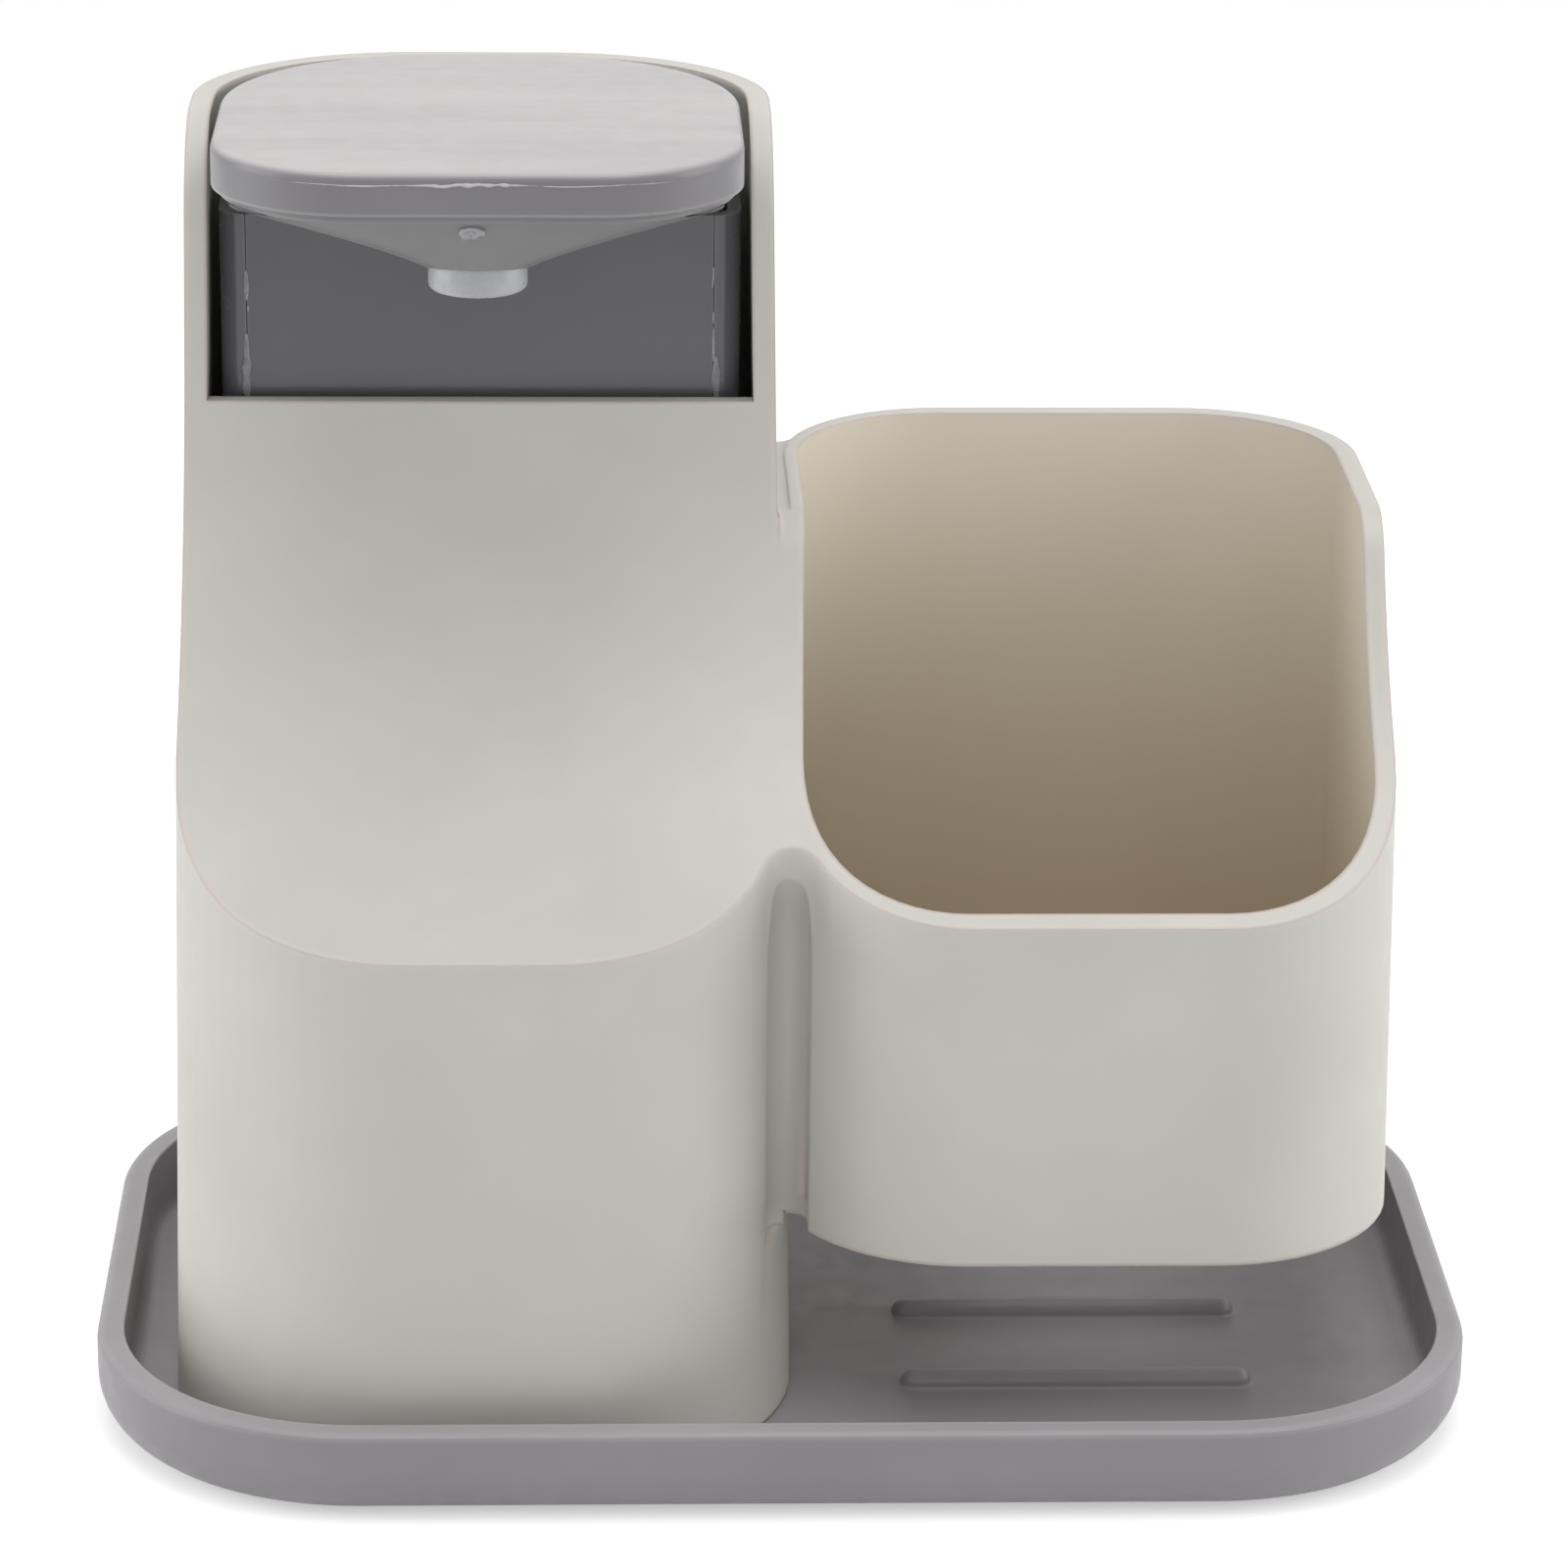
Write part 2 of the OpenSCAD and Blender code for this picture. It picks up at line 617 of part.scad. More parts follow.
// Return spring: wound wire between the cylinder's shoulder and the piston
module return_spring() {
    z0 = shoulder_z + wire_r + fit_gap;
    z1 = piston_z - wire_r - fit_gap;
    mean_r = spring_r - wire_r;
    steps = 16;
    sides = 6;
    rings = spring_turns * steps;
    climb = atan2((z1 - z0) / spring_turns, 2 * PI * mean_r);
    color([0.75, 0.76, 0.78]) at_pump() polyhedron(
        points = [
            for (j = [0:rings]) let (a = 360 * j / steps, z = z0 + (z1 - z0) * j / rings)
                for (i = [0:sides - 1]) let (
                    b = 360 * i / sides,
                    out = wire_r * cos(b),
                    up = wire_r * sin(b)
                )
                [
                    (mean_r + out) * cos(a) + up * sin(climb) * sin(a),
                    (mean_r + out) * sin(a) - up * sin(climb) * cos(a),
                    z + up * cos(climb)
                ]
        ],
        faces = concat(
            [[for (i = [0:sides - 1]) i]],
            [[for (i = [sides - 1:-1:0]) rings * sides + i]],
            [for (j = [0:rings - 1]) for (i = [0:sides - 1])
                [j * sides + i, (j + 1) * sides + i, (j + 1) * sides + (i + 1) % sides]],
            [for (j = [0:rings - 1]) for (i = [0:sides - 1])
                [j * sides + i, (j + 1) * sides + (i + 1) % sides, j * sides + (i + 1) % sides]]
        )
    );
}

// Pump rod: hollow stem from the piston to the press head, with a seat for the outlet ball
module pump_rod() {
    seat_z = rod_top - 2.5 * ball_r;
    color([0.88, 0.89, 0.89]) at_pump() rotate_extrude() polygon([
        [rod_bore_r - run_gap, piston_z + fit_gap],
        [rod_r - cylinder_wall / 2, piston_z + fit_gap],
        [rod_r - cylinder_wall / 2, piston_z + piston_h + run_gap],
        [rod_r, piston_z + piston_h + run_gap],
        [rod_r, rod_top],
        [ball_r + 3 * run_gap, rod_top],
        [ball_r + 3 * run_gap, seat_z],
        [ball_hole_r, seat_z],
        [ball_hole_r, seat_z - cylinder_wall],
        [rod_bore_r - run_gap, seat_z - 2 * cylinder_wall]
    ]);
}

// Piston seal: soft cup with two lips, pushed on the foot of the rod
module piston_seal() {
    lip = bore_r - run_gap;
    waist = bore_r - cylinder_wall;
    color([0.93, 0.93, 0.91]) at_pump() rotate_extrude() polygon([
        [rod_r - cylinder_wall / 2 + run_gap, piston_z],
        [waist - cylinder_wall / 2, piston_z],
        [lip, piston_z],
        [lip, piston_z + piston_h / 5],
        [waist, piston_z + 2 * piston_h / 5],
        [waist, piston_z + 3 * piston_h / 5],
        [lip, piston_z + 4 * piston_h / 5],
        [lip, piston_z + piston_h],
        [rod_r - cylinder_wall / 2 + run_gap, piston_z + piston_h]
    ]);
}

// Height of a ball's centre when it rests on the rim of its hole
ball_rest = sqrt(ball_r * ball_r - ball_hole_r * ball_hole_r) + run_gap;

// Inlet ball: check valve over the dip tube
module inlet_ball() {
    color([0.8, 0.82, 0.85]) at_pump() translate([0, 0, valve_z + ball_rest]) sphere(ball_r);
}

// Outlet ball: check valve at the top of the rod
module outlet_ball() {
    seat_z = rod_top - 2.5 * ball_r;
    color([0.8, 0.82, 0.85]) at_pump() translate([0, 0, seat_z + ball_rest]) sphere(ball_r);
}

// Dip tube: reaches down to the bottle's floor
module dip_tube() {
    foot = bottle_z + bottle_wall + dip_r;
    color([0.9, 0.91, 0.9]) at_pump() difference() {
        translate([0, 0, foot]) cylinder(r = dip_r, h = socket_top - fit_gap - foot);
        translate([0, 0, foot - over]) cylinder(r = dip_r * 0.73, h = socket_top - foot + 2 * over);
    }
}

// Head cover: the pale press plate with its rim
module head_cover() {
    color([0.80, 0.78, 0.78]) difference() {
        rolled_slab(
            head_x0, head_x1, head_y0, head_y1, head_front_r, head_rear_r,
            head_edge_r, skirt_z, head_top
        );
        slab(
            head_x0, head_x1, head_y0, head_y1, head_front_r, head_rear_r,
            head_wall, skirt_z - over, cover_inner_z
        );
    }
}

// Ring of the funnel at share s of its depth: a rounded D at the top, the nozzle's collar below
function funnel_ring(s) =
    let (
        mouth_r = nozzle_r + head_wall * 0.75,
        spread = pow(1 - s, 1.55),
        rim = head_wall * 3,
        x0 = head_x0 + rim,
        x1 = head_x1 - rim,
        y0 = head_y0 + rim / 2,
        y1 = bottle_y0 - 2 * slide_gap,
        steps = 56
    )
    [
        for (i = [0:steps - 1]) let (
            a = 360 * i / steps,
            px = (x1 - x0) / 2 * sign(cos(a)) * pow(abs(cos(a)), 0.7),
            py = (sin(a) < 0 ? nozzle_y - y0 : y1 - nozzle_y) * sign(sin(a)) * pow(abs(sin(a)), 0.7)
        )
        [
            tower_x + mouth_r * cos(a) * (1 - spread) + px * spread,
            nozzle_y + mouth_r * sin(a) * (1 - spread) + py * spread
        ]
    ];

// Head base: lip, funnel, rod socket and the channel's trough, closed by a cap
module head_base() {
    steps = 6;
    trough_y0 = nozzle_y - duct_w / 2;
    trough_y1 = pump_y + duct_w / 2;
    color([0.66, 0.66, 0.67]) difference() {
        union() {
            slab(
                head_x0, head_x1, head_y0, head_y1, head_front_r, head_rear_r,
                head_wall / 2, lip_z, lip_z + head_lip_h
            );
            slab(
                head_x0, head_x1, head_y0, head_y1, head_front_r, head_rear_r,
                head_wall + fit_gap, lip_z + head_lip_h, lip_z + 2 * head_lip_h
            );
            loft(
                [for (j = [0:steps]) funnel_ring(1 - j / steps)],
                [for (j = [0:steps]) funnel_z + (funnel_h + head_lip_h / 2) * j / steps]
            );
            translate([tower_x - duct_w / 2, trough_y0, lip_z])
                cube([duct_w, trough_y1 - trough_y0, duct_top - lip_z]);
            at_pump() translate([0, 0, boss_z]) cylinder(r = boss_r, h = duct_top - boss_z);
        }
        translate([tower_x - duct_groove_w / 2, nozzle_y, duct_top - duct_groove_w / 2])
            cube([duct_groove_w, pump_y - nozzle_y, duct_groove_w]);
        at_pump() translate([0, 0, boss_z - over])
            cylinder(r = rod_r + run_gap, h = rod_top + run_gap - boss_z + over);
        at_pump() translate([0, 0, boss_z]) cylinder(r = rod_bore_r, h = duct_top + over - boss_z);
        translate([tower_x, nozzle_y, funnel_z - over])
            cylinder(r = nozzle_r + run_gap, h = funnel_h / 2 + over);
        translate([tower_x, nozzle_y, funnel_z]) cylinder(r = rod_bore_r, h = duct_top + over - funnel_z);
    }
}

// Channel cap: strip that closes the trough from the rod to the nozzle
module channel_cap() {
    color([0.62, 0.62, 0.63])
        translate([tower_x - duct_w / 2, nozzle_y - duct_w / 2, cap_z])
            cube([duct_w, pump_y - nozzle_y + duct_w, cap_t]);
}

// Nozzle tip: milky tube pushed up into the funnel
module nozzle_tip() {
    color([0.85, 0.87, 0.87]) translate([tower_x, nozzle_y, nozzle_z]) difference() {
        cylinder(r = nozzle_r, h = nozzle_len + funnel_h / 2 - fit_gap);
        translate([0, 0, -over]) cylinder(r = nozzle_bore_r, h = nozzle_len + funnel_h / 2 + 2 * over);
    }
}

drip_tray();
caddy_body();
base_plate();
bottle_shell();
bottle_front_panel();
glue_seams();
neck_gasket();
screw_collar();
pump_cylinder();
guide_ring();
return_spring();
pump_rod();
piston_seal();
inlet_ball();
outlet_ball();
dip_tube();
head_cover();
head_base();
channel_cap();
nozzle_tip();
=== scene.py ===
import math

import bmesh
import bpy
from mathutils import Matrix, Vector, noise


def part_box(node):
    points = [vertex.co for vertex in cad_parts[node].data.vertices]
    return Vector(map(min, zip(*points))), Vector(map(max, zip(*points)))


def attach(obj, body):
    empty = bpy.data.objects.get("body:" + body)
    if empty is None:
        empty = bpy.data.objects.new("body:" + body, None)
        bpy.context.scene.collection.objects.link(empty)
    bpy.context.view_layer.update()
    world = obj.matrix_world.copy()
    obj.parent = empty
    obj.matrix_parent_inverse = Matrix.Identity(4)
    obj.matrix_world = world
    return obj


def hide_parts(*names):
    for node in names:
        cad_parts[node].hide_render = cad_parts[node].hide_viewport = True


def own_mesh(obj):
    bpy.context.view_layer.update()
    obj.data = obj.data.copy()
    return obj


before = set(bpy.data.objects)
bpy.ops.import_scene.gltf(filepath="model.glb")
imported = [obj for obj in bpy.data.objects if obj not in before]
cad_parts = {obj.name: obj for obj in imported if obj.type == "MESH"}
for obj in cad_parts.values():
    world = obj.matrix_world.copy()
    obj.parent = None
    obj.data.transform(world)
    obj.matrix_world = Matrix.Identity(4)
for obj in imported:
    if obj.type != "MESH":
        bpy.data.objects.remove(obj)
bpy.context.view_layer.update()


# Drip tray
# The shallow tray that the caddy stands in: polypropylene, injection moulded in one shot,
# with a rolled lip round the edge and low ribs on its floor under the hanging cup.

# Sizes are written in millimetres, and Blender counts in metres. The spans are the parts of a
# noise's range that ramp() stretches, a narrower one for sharper blobs.
MM = 0.001
wide_span, narrow_span = (0.3, 0.7), (0.35, 0.65)
bevel_samples = 6


def srgb(red, green, blue):
    """A colour read off in 0 to 255 steps, as the shader wants it."""
    def linear(step):
        share = step / 255
        return share / 12.92 if share <= 0.04045 else ((share + 0.055) / 1.055) ** 2.4
    return (linear(red), linear(green), linear(blue), 1)


def wire(tree, kind, inputs=None, **settings):
    """One shader node, with its settings and its sockets' values or links."""
    made = tree.nodes.new(kind)
    for name, value in settings.items():
        setattr(made, name, value)
    for name, value in (inputs or {}).items():
        if isinstance(value, bpy.types.NodeSocket):
            tree.links.new(value, made.inputs[name])
        else:
            made.inputs[name].default_value = value
    return made


def blank(name):
    """An empty node material and its tree, ready for a surface."""
    material = bpy.data.materials.new(name)
    material.use_nodes = True
    material.node_tree.nodes.clear()
    return material, material.node_tree


def noise_at(tree, size_mm, detail=3, roughness=0.55, stretch=(1, 1, 1)):
    """Noise whose blobs are about that many millimetres across, fixed to the piece."""
    place = wire(tree, "ShaderNodeTexCoord").outputs["Object"]
    scaled = wire(tree, "ShaderNodeMapping", {"Vector": place, "Scale": stretch})
    return wire(tree, "ShaderNodeTexNoise", {
        "Vector": scaled.outputs["Vector"], "Scale": 1 / (size_mm * MM),
        "Detail": detail, "Roughness": roughness}).outputs["Fac"]


def ramp(tree, value, low, high, to_low=0.0, to_high=1.0):
    """value, stretched from low..high to to_low..to_high and held there."""
    return wire(tree, "ShaderNodeMapRange", {
        "Value": value, "From Min": low, "From Max": high,
        "To Min": to_low, "To Max": to_high}).outputs["Result"]


def product(tree, first, second):
    """Two values multiplied."""
    return wire(tree, "ShaderNodeMath", {0: first, 1: second}, operation="MULTIPLY").outputs[0]


def mixed(tree, factor, first, second):
    """Two colours mixed by factor. The mix node's colour sockets are picked by their place."""
    factor_in, first_in, second_in, colour_out = 0, 6, 7, 2
    made = wire(tree, "ShaderNodeMix", data_type="RGBA")
    for socket, value in ((factor_in, factor), (first_in, first), (second_in, second)):
        if isinstance(value, bpy.types.NodeSocket):
            tree.links.new(value, made.inputs[socket])
        else:
            made.inputs[socket].default_value = value
    return made.outputs[colour_out]


def edge_share(tree, radius_mm):
    """1 on an edge, 0 on a face: how far the softened normal leans from the true one."""
    soft = wire(tree, "ShaderNodeBevel", {"Radius": radius_mm * MM}, samples=bevel_samples)
    true = wire(tree, "ShaderNodeNewGeometry")
    lean = wire(tree, "ShaderNodeVectorMath", {
        0: soft.outputs["Normal"], 1: true.outputs["Normal"]}, operation="DOT_PRODUCT")
    on_face, on_edge = 0.99, 0.80
    return ramp(tree, lean.outputs["Value"], on_face, on_edge)


def painted_top_light(tree, tint, tone):
    """Painted light: faces that look up take the paler tone, in faint streaks along x."""
    normal = wire(tree, "ShaderNodeNewGeometry").outputs["True Normal"]
    facing_up = wire(tree, "ShaderNodeSeparateXYZ", {"Vector": normal}).outputs["Z"]
    streak_mm, streak_span, faintest = 9, (0.35, 0.7), 0.75
    streaks = noise_at(tree, streak_mm, detail=4, roughness=0.6, stretch=(0.12, 1, 1))
    streaks = ramp(tree, streaks, *streak_span, faintest, 1.0)
    steep, level = 0.5, 0.97
    return mixed(tree, product(tree, ramp(tree, facing_up, steep, level), streaks), tint, tone)


def painted_cup_shade(tree, tint, axis_mm, mouth, deep):
    """Painted shade: walls that face a cup's axis go from the mouth's tone to the darker, warmer deep one,
    in place of the shade and the bounced light deep in the cup. Each is a height in millimetres and a
    colour. The tower's side keeps its tint."""
    place = wire(tree, "ShaderNodeTexCoord").outputs["Object"]
    axis_x, axis_y = axis_mm
    inward = wire(tree, "ShaderNodeVectorMath", {
        0: (axis_x * MM, axis_y * MM, 0), 1: place}, operation="SUBTRACT")
    flat = wire(tree, "ShaderNodeVectorMath", {
        0: inward.outputs[0], 1: (1, 1, 0)}, operation="MULTIPLY")
    normal = wire(tree, "ShaderNodeNewGeometry").outputs["True Normal"]
    facing = wire(tree, "ShaderNodeVectorMath", {
        0: flat.outputs[0], 1: normal}, operation="DOT_PRODUCT").outputs["Value"]
    split = wire(tree, "ShaderNodeSeparateXYZ", {"Vector": place}).outputs
    (mouth_mm, mouth_tone), (deep_mm, deep_tone) = mouth, deep
    depth = ramp(tree, split["Z"], mouth_mm * MM, deep_mm * MM)
    walls = mixed(tree, depth, mouth_tone, deep_tone)
    facing_fully, tower_side, cup_side = 4 * MM, 1.2 * MM, 2.2 * MM
    in_cup = ramp(tree, split["X"], tower_side, cup_side)
    inside = product(tree, ramp(tree, facing, 0, facing_fully), in_cup)
    return mixed(tree, inside, tint, walls)


def moulded(name, colour, shade, wear_and_highlight, roughness, grain_mm, depth_mm, soft_mm,
            coat=0.0, hollow=None, level=None):
    """Injection moulded plastic: a fine spark grain, slow blotches of shade, and paler edges
    that are rubbed wear and a painted highlight.

    grain_mm and depth_mm are the grain's width and depth, and soft_mm is the radius of its edges.
    hollow holds the axis, mouth and deep of the cup's painted shade, and level the tone of the painted
    light on faces that look up.
    """
    material, tree = blank(name)
    blotch_mm, cloud_mm, gloss_mm, swell_mm = 38, 6, 3.5, 24
    blotch = ramp(tree, noise_at(tree, blotch_mm, detail=2), *narrow_span)
    cloud_most = 0.35
    cloud = ramp(tree, noise_at(tree, cloud_mm), *wide_span, 0, cloud_most)
    tint = mixed(tree, cloud, mixed(tree, blotch, colour, shade), shade)
    # Painted light: faces that look up are painted paler.
    if level:
        tint = painted_top_light(tree, tint, level)
    # Painted shade: the cup's walls grow darker and warmer towards its floor.
    if hollow:
        tint = painted_cup_shade(tree, tint, *hollow)
    # Paler edges: rubbed wear, and a painted highlight where the rounded edge catches the light.
    wear_and_highlight_reach = 1.6
    tint = mixed(tree, edge_share(tree, soft_mm * wear_and_highlight_reach), tint, wear_and_highlight)
    smoother, rougher = 0.05, 0.07
    gloss = noise_at(tree, gloss_mm, detail=4)
    rough = ramp(tree, gloss, *wide_span, roughness - smoother, roughness + rougher)
    softened = wire(tree, "ShaderNodeBevel", {"Radius": soft_mm * MM}, samples=bevel_samples)
    swell = wire(tree, "ShaderNodeBump", {
        "Height": noise_at(tree, swell_mm, detail=1), "Strength": 0.12, "Distance": 0.6 * MM,
        "Normal": softened.outputs["Normal"]})
    bump = wire(tree, "ShaderNodeBump", {
        "Height": noise_at(tree, grain_mm, detail=4, roughness=0.6), "Strength": 0.35,
        "Distance": depth_mm * MM, "Normal": swell.outputs["Normal"]})
    surface = wire(tree, "ShaderNodeBsdfPrincipled", {
        "Base Color": tint, "Roughness": rough, "Normal": bump.outputs["Normal"],
        "IOR": 1.49, "Specular IOR Level": 0.5, "Coat Weight": coat, "Coat Roughness": 0.25})
    wire(tree, "ShaderNodeOutputMaterial", {"Surface": surface.outputs["BSDF"]})
    return material


def finish_node(name, material):
    """Gives a CAD node its material."""
    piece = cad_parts[name]
    piece.data.materials.clear()
    piece.data.materials.append(material)
    return piece


# The tray's level tone is painted light: its faces that look up are painted paler.
tray_plastic = moulded(
    "tray_plastic", colour=srgb(148, 145, 149), shade=srgb(142, 139, 142), wear_and_highlight=srgb(190, 187, 190),
    roughness=0.42, grain_mm=0.35, depth_mm=0.03, soft_mm=0.7, level=srgb(166, 163, 166))
finish_node("drip_tray", tray_plastic)


# Caddy body
# The cream shell: tower, scoop, web and hanging cup in one shot of polypropylene, drafted upwards
# so that it leaves the mould, with a satin grain, a paler rim that is rubbed wear and a painted
# highlight, and painted shade down the cup's walls.

# The cup's mouth and deep tones are painted shade, darker and warmer towards the cup's floor.
cup_axis_mm = (43.5, 3.7)
cup_mouth_lit, cup_deep_shaded = (126, srgb(240, 232, 216)), (50, srgb(194, 179, 156))
body_plastic = moulded(
    "body_plastic", colour=srgb(211, 210, 203), shade=srgb(205, 203, 195), wear_and_highlight=srgb(226, 215, 207),
    roughness=0.46, grain_mm=0.45, depth_mm=0.03, soft_mm=1.2, hollow=(cup_axis_mm, cup_mouth_lit, cup_deep_shaded))
shell = finish_node("caddy_body", body_plastic)


def skin(rings, closed_ends=True):
    """A mesh through rings that all have the same number of points, with or without its two ends."""
    shape = bmesh.new()
    loops = [[shape.verts.new(point) for point in ring] for ring in rings]
    for lower, upper in zip(loops, loops[1:]):
        for i in range(len(lower)):
            j = (i + 1) % len(lower)
            shape.faces.new((lower[i], lower[j], upper[j], upper[i]))
    if closed_ends:
        shape.faces.new(loops[0][::-1])
        shape.faces.new(loops[-1])
    bmesh.ops.recalc_face_normals(shape, faces=shape.faces)
    made = bpy.data.meshes.new("skin")
    shape.to_mesh(made)
    shape.free()
    return made


def trim(piece, name, rings):
    """Cuts a piece with a hidden block that runs through the rings."""
    block = bpy.data.objects.new(name, skin(rings))
    bpy.context.scene.collection.objects.link(block)
    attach(block, "caddy")
    block.hide_render = True
    cut = piece.modifiers.new(name, "BOOLEAN")
    cut.operation, cut.solver, cut.object = "DIFFERENCE", "EXACT", block


def across(line, x0, x1):
    """The same line of (y, z) points at two places in x."""
    return [[(x, y, z) for y, z in line] for x in (x0, x1)]


# The mesh comes with doubled vertices along its edges. They are joined before it is cut.
shell_low, shell_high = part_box("caddy_body")
weld = shell.modifiers.new("weld", "WELD")
weld.merge_threshold = 0.001 * MM

# The tower's rim ends in two horns beside the window. They are rounded off, and from there the
# rim falls a little to the rear.
jamb_y, horn_r, rear_drop, over, arc_steps = 1.126 * MM, 12 * MM, 0.7 * MM, 2 * MM, 24
quarter_turn = [math.pi / 2 * k / arc_steps for k in range(arc_steps + 1)]
horn = [(jamb_y - over, shell_high.z - horn_r)]
horn += [(jamb_y + horn_r * (1 - math.cos(a)), shell_high.z - horn_r * (1 - math.sin(a)))
         for a in quarter_turn]
horn += [(shell_high.y + over, shell_high.z - rear_drop), (shell_high.y + over, shell_high.z + over),
         (jamb_y - over, shell_high.z + over)]
trim(shell, "tower_rim_line", across(horn, shell_low.x - over, shell_high.x + over))

# The cup's level rim is rounded off too where it turns down into the scoop: an arc that touches
# both the rim and the scoop's circle.
cup_side_x, cup_top, cup_horn_r = -0.9 * MM, 129.4 * MM, 8.5 * MM
scoop_y, scoop_z, scoop_r = -72.374 * MM, 151.7 * MM, 73.5 * MM
horn_z = cup_top - cup_horn_r
horn_y = scoop_y + math.sqrt((scoop_r + cup_horn_r) ** 2 - (scoop_z - horn_z) ** 2)
start = math.atan2(scoop_z - horn_z, scoop_y - horn_y)
sweep = [start + (math.pi / 2 - start) * k / arc_steps for k in range(arc_steps + 1)]
arc = [(horn_y + cup_horn_r * math.cos(a), horn_z + cup_horn_r * math.sin(a)) for a in sweep]
foot_y, foot_z = arc[0]
shoulder = [(foot_y + over * math.cos(start), foot_z + over * math.sin(start))] + arc
shoulder += [(horn_y, cup_top + over), (foot_y - over, cup_top + over)]
trim(shell, "cup_rim_line", across(shoulder, cup_side_x, shell_high.x + over))

# The valley between tower and cup runs deeper than the web's face. It narrows and eases out
# upwards, under the ridge. Each ring is a slot with a round bottom, open to the front.
valley_x, valley_y, valley_depth, valley_half = 0.1 * MM, -35.5 * MM, 6.6 * MM, 3.1 * MM
valley_foot, valley_head, fade_len, stations = 30 * MM, 98 * MM, 22 * MM, 20
slot_front, head_out, head_share = valley_y - 14 * MM, 4 * MM, 0.3
half_turn = [2 * a for a in quarter_turn[::3]]
rings = []
for k in range(stations + 1):
    z = valley_foot + (valley_head - valley_foot) * k / stations
    fade = min(1, (valley_head - z) / fade_len)
    reach = valley_depth * fade * fade * (3 - 2 * fade) - head_out * (1 - fade)
    half = valley_half * (head_share + (1 - head_share) * fade)
    ring = [(valley_x - half, slot_front, z)]
    ring += [(valley_x - half * math.cos(a), valley_y + reach - half * (1 - math.sin(a)), z)
             for a in half_turn]
    ring += [(valley_x + half, slot_front, z)]
    rings.append(ring)
trim(shell, "valley_line", rings)


def crisp(piece, degrees, radius_mm):
    """Rolls the sharp edges over by a small radius, and shades the rest as one smooth skin.

    The cuts leave thin triangles that would show as streaks, so flat parts are dissolved first.
    """
    flat_degrees, roll_steps = 0.5, 3
    flat = piece.modifiers.new("flat", "DECIMATE")
    flat.decimate_type, flat.angle_limit = "DISSOLVE", math.radians(flat_degrees)
    roll = piece.modifiers.new("roll", "BEVEL")
    roll.limit_method, roll.angle_limit = "ANGLE", math.radians(degrees)
    roll.width, roll.segments = radius_mm * MM, roll_steps
    tree = bpy.data.node_groups.new("crisp_edges", "GeometryNodeTree")
    for way in ("INPUT", "OUTPUT"):
        tree.interface.new_socket("Geometry", in_out=way, socket_type="NodeSocketGeometry")
    given = tree.nodes.new("NodeGroupInput").outputs[0]
    faces = wire(tree, "GeometryNodeSetShadeSmooth", {"Geometry": given}, domain="FACE")
    angle = wire(tree, "GeometryNodeInputMeshEdgeAngle").outputs["Unsigned Angle"]
    low = wire(tree, "ShaderNodeMath", {0: angle, 1: math.radians(degrees)}, operation="LESS_THAN")
    edges = wire(tree, "GeometryNodeSetShadeSmooth", {
        "Geometry": faces.outputs[0], "Shade Smooth": low.outputs[0]}, domain="EDGE")
    result = tree.nodes.new("NodeGroupOutput")
    tree.links.new(edges.outputs[0], result.inputs[0])
    piece.modifiers.new("crisp", "NODES").node_group = tree
    even = piece.modifiers.new("even", "WEIGHTED_NORMAL")
    even.keep_sharp = True


crisp(shell, degrees=32, radius_mm=0.8)


# Base plate
# The plate that closes the tower from below and carries the bottle: the body's own plastic,
# flat, glued in from underneath.

finish_node("base_plate", body_plastic)


# Bottle
# The smoke grey soap bottle: a glossy styrene shell with its own front panel glued between its
# front corners. The glue came out of the two upright seams in runs and dried there.

bottle_plastic = moulded(
    "bottle_plastic", colour=srgb(98, 97, 102), shade=srgb(90, 89, 94), wear_and_highlight=srgb(130, 129, 134),
    roughness=0.22, grain_mm=1.2, depth_mm=0.01, soft_mm=0.4, coat=0.3)
panel_plastic = moulded(
    "panel_plastic", colour=srgb(92, 92, 97), shade=srgb(87, 87, 92), wear_and_highlight=srgb(132, 131, 136),
    roughness=0.16, grain_mm=1.6, depth_mm=0.01, soft_mm=0.3, coat=0.4)
finish_node("bottle_shell", bottle_plastic)
finish_node("bottle_front_panel", panel_plastic)


def glue(name):
    """Dried solvent cement: a milky, wet looking bead with a lumpy skin and paler edges."""
    material, tree = blank(name)
    cloud_mm, gloss_mm, lump_mm, edge_mm = 1.6, 1.1, 0.8, 0.5
    cloud = ramp(tree, noise_at(tree, cloud_mm), *narrow_span)
    tint = mixed(tree, cloud, srgb(172, 172, 175), srgb(142, 142, 146))
    tint = mixed(tree, edge_share(tree, edge_mm), tint, srgb(206, 207, 210))
    wettest, driest = 0.12, 0.32
    bump = wire(tree, "ShaderNodeBump", {
        "Height": noise_at(tree, lump_mm), "Strength": 0.5, "Distance": 0.15 * MM})
    surface = wire(tree, "ShaderNodeBsdfPrincipled", {
        "Base Color": tint,
        "Roughness": ramp(tree, noise_at(tree, gloss_mm, detail=2), *wide_span, wettest, driest),
        "Normal": bump.outputs["Normal"], "IOR": 1.5, "Transmission Weight": 0.35,
        "Subsurface Weight": 0.2, "Subsurface Scale": 0.8 * MM})
    wire(tree, "ShaderNodeOutputMaterial", {"Surface": surface.outputs["BSDF"]})
    return material


def add_piece(name, mesh_data, material, body):
    """Links a finished mesh as a smooth piece that rides on a body."""
    mesh_data.name = name
    for face in mesh_data.polygons:
        face.use_smooth = True
    piece = bpy.data.objects.new(name, mesh_data)
    bpy.context.scene.collection.objects.link(piece)
    piece.data.materials.append(material)
    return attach(piece, body)


def joined(meshes):
    """Several meshes as one."""
    shape = bmesh.new()
    for part in meshes:
        shape.from_mesh(part)
        bpy.data.meshes.remove(part)
    made = bpy.data.meshes.new("joined")
    shape.to_mesh(made)
    shape.free()
    return made


